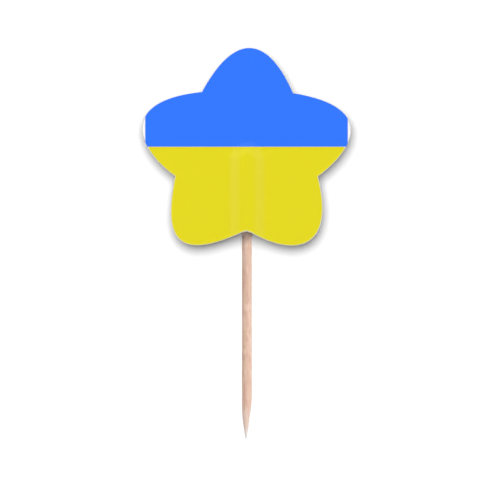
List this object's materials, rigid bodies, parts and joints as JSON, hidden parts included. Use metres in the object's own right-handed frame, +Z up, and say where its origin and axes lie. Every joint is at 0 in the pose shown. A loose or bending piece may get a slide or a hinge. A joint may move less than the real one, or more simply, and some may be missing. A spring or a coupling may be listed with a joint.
{
  "type": "cupcake pick",
  "caption": "Paper star topper with rounded lobes in two flat colour bands, glued round the blunt end of a pointed wooden toothpick.",
  "frame": {"origin": "point of the pick", "axes": "+Z up the pick, from its point to the star; +Y towards the back of the card, so the printed face looks along -Y; +X to the right of someone who looks at the printed face"},
  "size_m": [0.0472, 0.0028, 0.0883],
  "materials": {
    "printed_paper": "smooth coated paper printed in two flat bands, blue over yellow, bare white at the left and right ends",
    "plain_paper": "matt white paper, fine fibre",
    "glue": "dried white glue, slightly translucent",
    "birch_wood": "bare pale wood with fine grain along the stick"
  },
  "bodies": {
    "root": {"front_card": "printed_paper", "back_card": "plain_paper", "glue": "glue", "toothpick": "birch_wood"}
  },
  "joints": []
}
